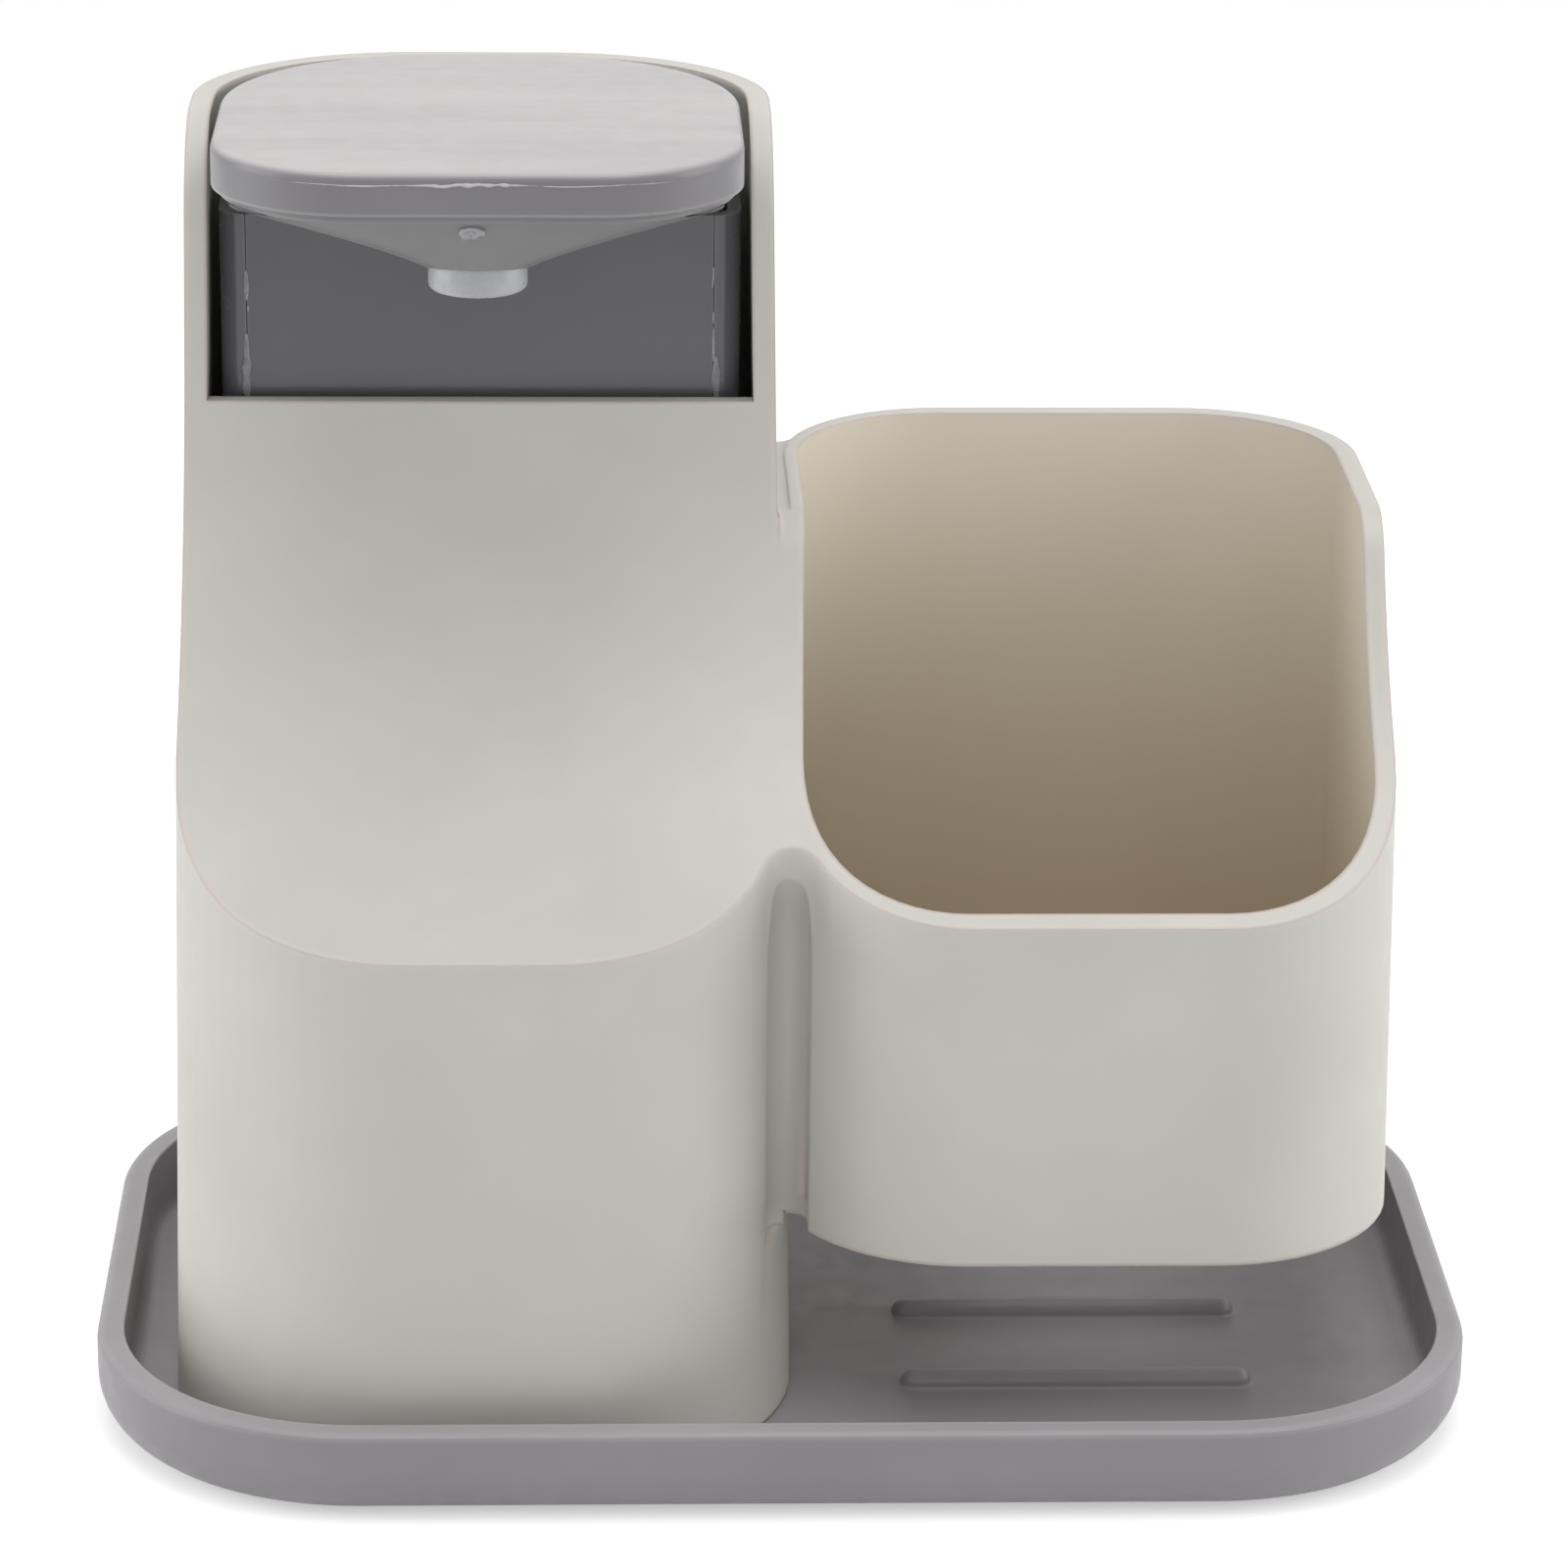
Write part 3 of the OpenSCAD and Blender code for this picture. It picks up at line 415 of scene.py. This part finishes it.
def glue_bead(x, face_y, low_z, high_z, width, seed):
    """One squeezed out run of glue: a low lumpy ridge along the seam, thin at both ends."""
    ring_gap, lump_len, sway_len, sway_most = 0.5 * MM, 2.2 * MM, 3 * MM, 0.16 * MM
    thinnest, plain, lumpy, bluntness = 0.08, 0.75, 0.55, 0.45
    lifted, flatness, sunk = 0.02 * MM, 0.55, -0.12
    tall, sides, fewest_rings, end_share, sway_seed = high_z - low_z, 12, 10, 0.02, 7
    count = max(fewest_rings, int(tall / ring_gap))
    rings = []
    for j in range(count + 1):
        share = j / count
        lump = noise.noise(Vector((seed, share * tall / lump_len, 0)))
        taper = math.sin(math.pi * min(max(share, end_share), 1 - end_share)) ** bluntness
        swell = max(thinnest, taper * (plain + lumpy * lump))
        sway = sway_most * noise.noise(Vector((seed + sway_seed, share * tall / sway_len, 1)))
        ring = []
        for i in range(sides):
            angle = math.tau * i / sides
            out = width * flatness * swell * max(math.sin(angle), sunk)
            ring.append((x + sway + width * swell * math.cos(angle),
                         face_y - (lifted + out), low_z + tall * share))
        rings.append(ring)
    return skin(rings)


# Each run: where it starts and how long it is, as shares of the panel's height, its half width
# and how far it strays from the seam, both in millimetres. The lower runs stand below the window.
panel_low, panel_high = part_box("bottle_front_panel")
panel_tall = panel_high.z - panel_low.z
lower_runs = [(0.03, 0.10, 0.5, 0), (0.16, 0.12, 0.5, 0), (0.31, 0.14, 0.5, 0),
              (0.49, 0.11, 0.5, 0), (0.64, 0.13, 0.5, 0)]
left_runs = [(0.815, 0.080, 0.84, -0.2), (0.9135, 0.006, 0.2, 0.1), (0.924, 0.027, 0.48, 0)]
right_runs = [(0.812, 0.063, 0.88, 0.5), (0.871, 0.030, 0.26, 0.1), (0.904, 0.011, 0.16, 0),
              (0.935, 0.020, 0.16, -0.1)]
left_seed, right_seed, seed_step = 3, 40, 1.7
bead_meshes = []
for seam_x, runs, seed in ((panel_low.x, lower_runs + left_runs, left_seed),
                           (panel_high.x, lower_runs + right_runs, right_seed)):
    for k, (start, length, half_width, stray) in enumerate(runs):
        low_z = panel_low.z + panel_tall * start
        high_z = low_z + panel_tall * length
        bead_meshes.append(glue_bead(
            seam_x + stray * MM, panel_low.y, low_z, high_z, half_width * MM, seed + k * seed_step))
glue_beads = add_piece("glue_beads", joined(bead_meshes), glue("dried_glue"), "bottle")
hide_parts("glue_seams")


# Neck gasket
# The ring between neck and flange: soft white rubber, punched from sheet, with a dull bloom on it.

seal_rubber = moulded(
    "seal_rubber", colour=srgb(226, 226, 222), shade=srgb(216, 216, 211), wear_and_highlight=srgb(236, 236, 233),
    roughness=0.62, grain_mm=0.3, depth_mm=0.03, soft_mm=0.2)
finish_node("neck_gasket", seal_rubber)


# Pump
# The pump under the head: milky polypropylene mouldings snapped together round a steel spring,
# with two steel balls as valves, and a grey collar that screws it onto the neck.

pump_plastic = moulded(
    "pump_plastic", colour=srgb(206, 207, 206), shade=srgb(196, 197, 198), wear_and_highlight=srgb(224, 224, 222),
    roughness=0.36, grain_mm=0.5, depth_mm=0.02, soft_mm=0.3)
for part in ("pump_cylinder", "guide_ring", "pump_rod", "dip_tube"):
    finish_node(part, pump_plastic)
finish_node("screw_collar", bottle_plastic)
finish_node("piston_seal", seal_rubber)


def steel(name, colour, roughness, stretch):
    """Stainless steel with fine lines, drawn out by stretch."""
    material, tree = blank(name)
    line_mm, patch_mm, smoother, rougher = 0.5, 5, 0.06, 0.08
    lines = noise_at(tree, line_mm, detail=4, roughness=0.7, stretch=stretch)
    patches = ramp(tree, noise_at(tree, patch_mm, detail=2), *narrow_span)
    tint = mixed(tree, patches, colour, srgb(150, 148, 146))
    bump = wire(tree, "ShaderNodeBump", {"Height": lines, "Strength": 0.25, "Distance": 0.02 * MM})
    surface = wire(tree, "ShaderNodeBsdfPrincipled", {
        "Base Color": tint, "Metallic": 1.0, "Anisotropic": 0.4,
        "Roughness": ramp(tree, lines, *wide_span, roughness - smoother, roughness + rougher),
        "Normal": bump.outputs["Normal"]})
    wire(tree, "ShaderNodeOutputMaterial", {"Surface": surface.outputs["BSDF"]})
    return material


spring_steel = steel("spring_steel", srgb(186, 185, 183), 0.28, (1, 1, 0.3))
valve_steel = steel("valve_steel", srgb(200, 200, 200), 0.14, (1, 1, 1))

spring_low, spring_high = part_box("return_spring")
wire_r, turns, steps, sides = 0.5 * MM, 7, 28, 10
spring_axis = (spring_low + spring_high) / 2
spring_length = spring_high.z - spring_low.z
coil_r = (spring_high.x - spring_low.x) / 2 - wire_r
upwards = Vector((0, 0, 1))
rings = []
for j in range(turns * steps + 1):
    share, angle = j / (turns * steps), math.tau * j / steps
    height = spring_low.z + wire_r + (spring_length - 2 * wire_r) * share
    out = Vector((math.cos(angle), math.sin(angle), 0))
    middle = Vector((spring_axis.x, spring_axis.y, height)) + out * coil_r
    ring = []
    for i in range(sides):
        round_wire = math.tau * i / sides
        ring.append(middle + (out * math.cos(round_wire) + upwards * math.sin(round_wire)) * wire_r)
    rings.append(ring)
coil = add_piece("spring_coil", skin(rings), spring_steel, "pump")
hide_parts("return_spring")
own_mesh(coil)
finish_node("inlet_ball", valve_steel)
finish_node("outlet_ball", valve_steel)


# Press head
# The plate that the hand presses: a grey moulded cover with painted light on its top face, over a
# grey funnel shaped base. A ragged flash line runs round its front where the mould's halves met, and
# a torn gate sits below the lip.

# The cover's level tone is painted light: its top face is painted paler than its grey sides.
plate_plastic = moulded(
    "plate_plastic", colour=srgb(130, 128, 132), shade=srgb(124, 122, 126), wear_and_highlight=srgb(184, 181, 183),
    roughness=0.36, grain_mm=0.35, depth_mm=0.02, soft_mm=0.7, coat=0.15, level=srgb(195, 191, 191))
head_plastic = moulded(
    "head_plastic", colour=srgb(144, 143, 145), shade=srgb(138, 137, 139), wear_and_highlight=srgb(168, 166, 168),
    roughness=0.36, grain_mm=0.35, depth_mm=0.02, soft_mm=0.4)
flash_plastic = moulded(
    "flash_plastic", colour=srgb(206, 204, 207), shade=srgb(180, 178, 181), wear_and_highlight=srgb(240, 239, 240),
    roughness=0.26, grain_mm=0.5, depth_mm=0.02, soft_mm=0.1)
finish_node("head_cover", plate_plastic)
finish_node("channel_cap", head_plastic)

plate_low, plate_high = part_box("head_cover")
front_corner_r = 20.7 * MM


def rim_front(x):
    """How far forward the plate's rim lies at x."""
    middle = min(max(x, plate_low.x + front_corner_r), plate_high.x - front_corner_r)
    return plate_low.y + front_corner_r - math.sqrt(max(front_corner_r ** 2 - (x - middle) ** 2, 0))


# The flash: a thin bead along the rim, which swells and wanders, most at the burr near its middle
line_drop, line_start, line_end, line_step, line_sides = 1.55 * MM, 9 * MM, 4 * MM, 0.35 * MM, 8
burr_from, burr_to, burr_focus = 30 * MM, 43 * MM, 1.6
fade_in_steps, fade_out_steps = 40, 60
rag_len, patch_len, wave_len, tear_len = 1.1 * MM, 6 * MM, 9 * MM, 2.4 * MM
rag_row, patch_row, wave_row, tear_row = (3.7, 0), (11, 4), (0, 5), (8, 0)
bead_mm, rag_mm, patch_mm, burr_mm, wave_mm, tear_mm = 0.07, 0.05, 0.07, 0.22, 0.22, 0.45
thinnest, bead_out, bead_up, off_rim = 0.01 * MM, 0.9, 1.2, 0.01 * MM
rings = []
steps = int((plate_high.x - plate_low.x - line_start - line_end) / line_step)
for j in range(steps + 1):
    x = plate_low.x + line_start + line_step * j
    along = x - plate_low.x
    ragged = noise.noise(Vector((along / rag_len, *rag_row)))
    patch = noise.noise(Vector((along / patch_len, *patch_row)))
    wave = noise.noise(Vector((along / wave_len, *wave_row)))
    tear = noise.noise(Vector((along / tear_len, *tear_row)))
    burr = max(0, 1 - abs(along - (burr_from + burr_to) / 2) / (burr_to - burr_from) * burr_focus)
    fade = min(1, j / fade_in_steps, (steps - j) / fade_out_steps)
    swell = fade * (bead_mm + rag_mm * ragged + patch_mm * patch + burr * (burr_mm + burr_mm * ragged)) * MM
    swell = max(swell, thinnest)
    z = plate_high.z - line_drop + (wave_mm * wave + burr * tear_mm * tear) * MM
    ring = []
    for i in range(line_sides):
        angle = math.tau * i / line_sides
        ring.append((x, rim_front(x) - swell * bead_out * math.cos(angle) - off_rim,
                     z + swell * bead_up * math.sin(angle)))
    rings.append(ring)
flash_line = add_piece("flash_line", skin(rings), flash_plastic, "head")

# The funnel under the plate: straight walls that run from the lip's outline down to the nozzle's
# mouth, which slants down to the rear. A socket in it holds the nozzle, with a bore above.
tip_low, tip_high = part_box("nozzle_tip")
tip_x, tip_y = (tip_low.x + tip_high.x) / 2, (tip_low.y + tip_high.y) / 2
tip_r = (tip_high.x - tip_low.x) / 2
lip_z, lip_h, lip_inset, lip_soft, lip_wall = 179.2 * MM, 1.1 * MM, 1.0 * MM, 0.25 * MM, 1.2 * MM
mouth_z, mouth_wall, mouth_slant = 171.1 * MM, 0.35 * MM, 0.2
socket_gap, socket_top, bore_r, bore_top = 0.05 * MM, 173.8 * MM, 2.2 * MM, 177.5 * MM
rear_corner_share = 0.42
rear_corner_r = rear_corner_share * (plate_high.x - plate_low.x)
funnel_front, funnel_rear, funnel_half = 12.4 * MM, 21 * MM, 34.3 * MM
funnel_square, funnel_flare = 0.7, 1.15
around, wall_steps = 96, 10


def round_ring(radius, z_of):
    """A circle about the nozzle's axis, at the heights that z_of gives for each y."""
    ring = []
    for i in range(around):
        angle = math.tau * i / around
        x, y = tip_x + radius * math.cos(angle), tip_y + radius * math.sin(angle)
        ring.append((x, y, z_of(y)))
    return ring


def mouth_height(y):
    """The mouth's edge: lower towards the rear."""
    return mouth_z - mouth_slant * (y - (tip_y - tip_r))


def funnel_ring(share):
    """The funnel's wall, 0 at the mouth and 1 under the lip: from a circle to a rounded oblong."""
    ring = []
    for i in range(around):
        c, s = math.cos(math.tau * i / around), math.sin(math.tau * i / around)
        depth = funnel_front if s < 0 else funnel_rear
        wide = Vector((funnel_half * math.copysign(abs(c) ** funnel_square, c),
                       depth * math.copysign(abs(s) ** funnel_square, s)))
        small = Vector((c, s)) * (tip_r + mouth_wall)
        flat = small.lerp(wide, share ** funnel_flare)
        low = mouth_height(tip_y + small.y)
        ring.append((tip_x + flat.x, tip_y + flat.y, low + (lip_z - low) * share))
    return ring


def in_plate(x, y, inset):
    """Whether a point lies in the plate's plan, drawn in by inset."""
    for corner_x in (-1, 1):
        for corner_y, radius in ((-1, front_corner_r), (1, rear_corner_r)):
            edge_x = plate_high.x if corner_x > 0 else plate_low.x
            edge_y = plate_high.y if corner_y > 0 else plate_low.y
            off_x, off_y = corner_x * (x - edge_x) + radius, corner_y * (y - edge_y) + radius
            if off_x > 0 and off_y > 0 and math.hypot(off_x, off_y) > radius - inset:
                return False
            if off_x > radius - inset or off_y > radius - inset:
                return False
    return True


def lip_ring(inset, z):
    """The plate's outline, drawn in by inset and found by halving, seen from the nozzle's axis."""
    halvings, farthest = 24, 100 * MM
    ring = []
    for i in range(around):
        c, s = math.cos(math.tau * i / around), math.sin(math.tau * i / around)
        near, far = 0, farthest
        for halving in range(halvings):
            middle = (near + far) / 2
            if in_plate(tip_x + c * middle, tip_y + s * middle, inset):
                near = middle
            else:
                far = middle
        ring.append((tip_x + c * near, tip_y + s * near, z))
    return ring


rings = [round_ring(bore_r, lambda y: bore_top), round_ring(bore_r, lambda y: socket_top),
         round_ring(tip_r + socket_gap, lambda y: socket_top),
         round_ring(tip_r + socket_gap, mouth_height)]
rings += [funnel_ring(k / wall_steps) for k in range(wall_steps + 1)]
rings += [lip_ring(lip_inset + lip_soft, lip_z), lip_ring(lip_inset, lip_z + lip_soft),
          lip_ring(lip_inset, lip_z + lip_h), lip_ring(lip_inset + lip_wall, lip_z + lip_h),
          lip_ring(lip_inset + lip_wall, lip_z + 2 * lip_h)]
funnel = add_piece("head_funnel", skin(rings), head_plastic, "head")
# Its closed ends stay flat, and its edges over this angle stay sharp
sharp_degrees = 32
for face in funnel.data.polygons:
    face.use_smooth = len(face.vertices) == 4
funnel.data.set_sharp_from_angle(angle=math.radians(sharp_degrees))
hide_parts("head_base")

# The gate: a torn stub on the funnel's front, in the plane of its wall. Its profile goes from the
# edge to the middle: the share of its half size, and the height over the wall in millimetres.
gate_at = Vector((-44.4, -28.35, 177.6)) * MM
gate_side, gate_up, gate_out = Vector((1, 0, 0)), Vector((0, -0.60, 0.80)), Vector((0, -0.80, -0.60))
gate_half_w, gate_half_h = 1.75 * MM, 0.95 * MM
gate_profile = [(1.0, -0.25), (0.94, 0.12), (0.84, 0.40), (0.70, 0.02), (0.48, -0.28), (0.34, -0.05),
                (0.24, 0.40), (0.05, 0.55)]
tear_scale, tear_depth, tear_reach, tear_lift, around_gate = 2.2, 3, 0.25, 1.3, 28
rings = []
for share, height in gate_profile:
    ring = []
    for i in range(around_gate):
        angle = math.tau * i / around_gate
        torn = noise.noise(Vector((
            math.cos(angle) * tear_scale, math.sin(angle) * tear_scale, share * tear_depth)))
        lift = height * (1 + tear_lift * torn) if share < 1 else height
        reach = share * (1 + tear_reach * torn)
        ring.append(gate_at + gate_side * gate_half_w * reach * math.cos(angle)
                    + gate_up * gate_half_h * reach * math.sin(angle) + gate_out * lift * MM)
    rings.append(ring)
gate_scar = add_piece("gate_scar", skin(rings), flash_plastic, "head")


# Nozzle tip
# The short spout under the plate: a turned looking tube of milky polyethylene with rounded lips,
# pushed up into the funnel.

def milky(name):
    """Natural polyethylene: cloudy, with light that goes some way in and comes out softened."""
    material, tree = blank(name)
    cloud_mm, gloss_mm, grain_mm, edge_mm = 5, 2, 0.5, 0.8
    cloud = ramp(tree, noise_at(tree, cloud_mm), *wide_span)
    tint = mixed(tree, cloud, srgb(194, 196, 199), srgb(182, 184, 187))
    tint = mixed(tree, edge_share(tree, edge_mm), tint, srgb(222, 223, 224))
    smoothest, roughest = 0.22, 0.34
    bump = wire(tree, "ShaderNodeBump", {
        "Height": noise_at(tree, grain_mm), "Strength": 0.3, "Distance": 0.02 * MM})
    surface = wire(tree, "ShaderNodeBsdfPrincipled", {
        "Base Color": tint,
        "Roughness": ramp(tree, noise_at(tree, gloss_mm), *wide_span, smoothest, roughest),
        "Normal": bump.outputs["Normal"], "IOR": 1.5,
        "Subsurface Weight": 0.3, "Subsurface Scale": 2 * MM})
    wire(tree, "ShaderNodeOutputMaterial", {"Surface": surface.outputs["BSDF"]})
    return material


# The tube's section, from the socket down the bore, round the lip and up the outside
bore_share, tip_foot, tip_flank = 0.75, 166.9 * MM, 1.6 * MM
tip_bore_r = tip_r * bore_share
lip_r, turn_steps, arc_steps = 0.75 * MM, 72, 6
lip_turn = [math.pi / 2 * k / arc_steps for k in range(arc_steps + 1)]
section = [(tip_bore_r, socket_top), (tip_bore_r, tip_foot + lip_r)]
section += [(tip_bore_r + lip_r - lip_r * math.cos(a), tip_foot + lip_r - lip_r * math.sin(a))
            for a in lip_turn[1:]]
section += [(tip_r - lip_r + lip_r * math.sin(a), tip_foot + lip_r - lip_r * math.cos(a))
            for a in lip_turn]
section += [(tip_r, tip_foot + tip_flank), (tip_r, socket_top)]
rings = []
for j in range(turn_steps):
    c, s = math.cos(math.tau * j / turn_steps), math.sin(math.tau * j / turn_steps)
    rings.append([(tip_x + r * c, tip_y + r * s, z) for r, z in section])
tube = skin(rings + rings[:1], closed_ends=False)
tip = add_piece("nozzle_spout", tube, milky("nozzle_plastic"), "head")
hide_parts("nozzle_tip")


# Studio
# A white table under soft lamps, and the camera where the photographer stood.

def seen_share(tree):
    """1 for rays that see a surface, straight, mirrored or through a clear body, else 0."""
    path = wire(tree, "ShaderNodeLightPath").outputs
    seen = path["Is Camera Ray"]
    for kind in ("Is Glossy Ray", "Is Transmission Ray"):
        seen = wire(tree, "ShaderNodeMath", {0: seen, 1: path[kind]}, operation="MAXIMUM").outputs[0]
    return seen


def floor_finish():
    """White paper: it keeps the shadow, and reads as white to the eye and in reflections."""
    material, tree = blank("paper")
    fibre_mm, floor_glow = 60, 0.45
    paper = wire(tree, "ShaderNodeBsdfDiffuse", {
        "Color": mixed(tree, noise_at(tree, fibre_mm, detail=2), srgb(236, 236, 236), srgb(240, 240, 240))})
    glow = wire(tree, "ShaderNodeEmission", {
        "Color": (1, 1, 1, 1), "Strength": ramp(tree, seen_share(tree), 0, 1, 0, floor_glow)})
    both = wire(tree, "ShaderNodeAddShader", {0: paper.outputs[0], 1: glow.outputs[0]})
    wire(tree, "ShaderNodeOutputMaterial", {"Surface": both.outputs[0]})
    return material


floor_half, floor_drop = 6.0, 0.0002
corners = [(-floor_half, -floor_half, 0), (floor_half, -floor_half, 0),
           (floor_half, floor_half, 0), (-floor_half, floor_half, 0)]
mesh = bpy.data.meshes.new("floor")
mesh.from_pydata(corners, [], [(0, 1, 2, 3)])
floor = bpy.data.objects.new("floor", mesh)
bpy.context.scene.collection.objects.link(floor)
floor.location.z = -floor_drop
floor.data.materials.append(floor_finish())

world = bpy.data.worlds.new("room")
bpy.context.scene.world = world
world.use_nodes = True
tree = world.node_tree
tree.nodes.clear()
room_light, room_seen = 0.40, 1.0
sky = wire(tree, "ShaderNodeBackground", {
    "Color": (1, 1, 1, 1), "Strength": ramp(tree, seen_share(tree), 0, 1, room_light, room_seen)})
wire(tree, "ShaderNodeOutputWorld", {"Surface": sky.outputs[0]})


def lamp(name, at, towards, size, watts):
    """A square soft box."""
    data = bpy.data.lights.new(name, "AREA")
    data.shape, data.size, data.energy = "SQUARE", size, watts
    made = bpy.data.objects.new(name, data)
    bpy.context.scene.collection.objects.link(made)
    made.location = at
    made.rotation_mode = "QUATERNION"
    made.rotation_quaternion = (Vector(towards) - Vector(at)).to_track_quat("-Z", "Y")


# The lamps' places and sizes are in metres.
lamp("top", at=(0, -0.1, 1.3), towards=(0, 0, 0.1), size=1.0, watts=6.5)
lamp("front", at=(0.1, -1.0, 1.1), towards=(0, 0, 0.08), size=0.9, watts=1.8)
lamp("left", at=(-1.1, -0.1, 0.4), towards=(0, 0, 0.08), size=0.8, watts=4.5)
lamp("right", at=(1.1, -0.1, 0.4), towards=(0, 0, 0.08), size=0.8, watts=4.5)

# The camera, fitted to the photo: its place in millimetres, its angles in radians and its focal
# length in the photo's pixels.
camera_at = Vector((-30.990, -796.811, 374.208)) * MM
yaw, pitch, roll = 0.03926, 0.34522, 0.01243
focal_px, photo_px, sensor_mm = 5900.85, 1600, 36
camera_data = bpy.data.cameras.new("camera")
camera_data.sensor_width = sensor_mm
camera_data.lens = sensor_mm * focal_px / photo_px
camera_data.clip_start, camera_data.clip_end = 0.02, 50
camera = bpy.data.objects.new("camera", camera_data)
bpy.context.scene.collection.objects.link(camera)
ahead = Vector((math.sin(yaw) * math.cos(pitch), math.cos(yaw) * math.cos(pitch), -math.sin(pitch)))
sideways = Vector((math.cos(yaw), -math.sin(yaw), 0))
above = sideways.cross(ahead)
right = sideways * math.cos(roll) + above * math.sin(roll)
up = above * math.cos(roll) - sideways * math.sin(roll)
turned = Matrix((right, up, -ahead)).transposed().to_4x4()
camera.matrix_world = Matrix.Translation(camera_at) @ turned
bpy.context.scene.camera = camera

bpy.context.scene.view_settings.view_transform = "Standard"
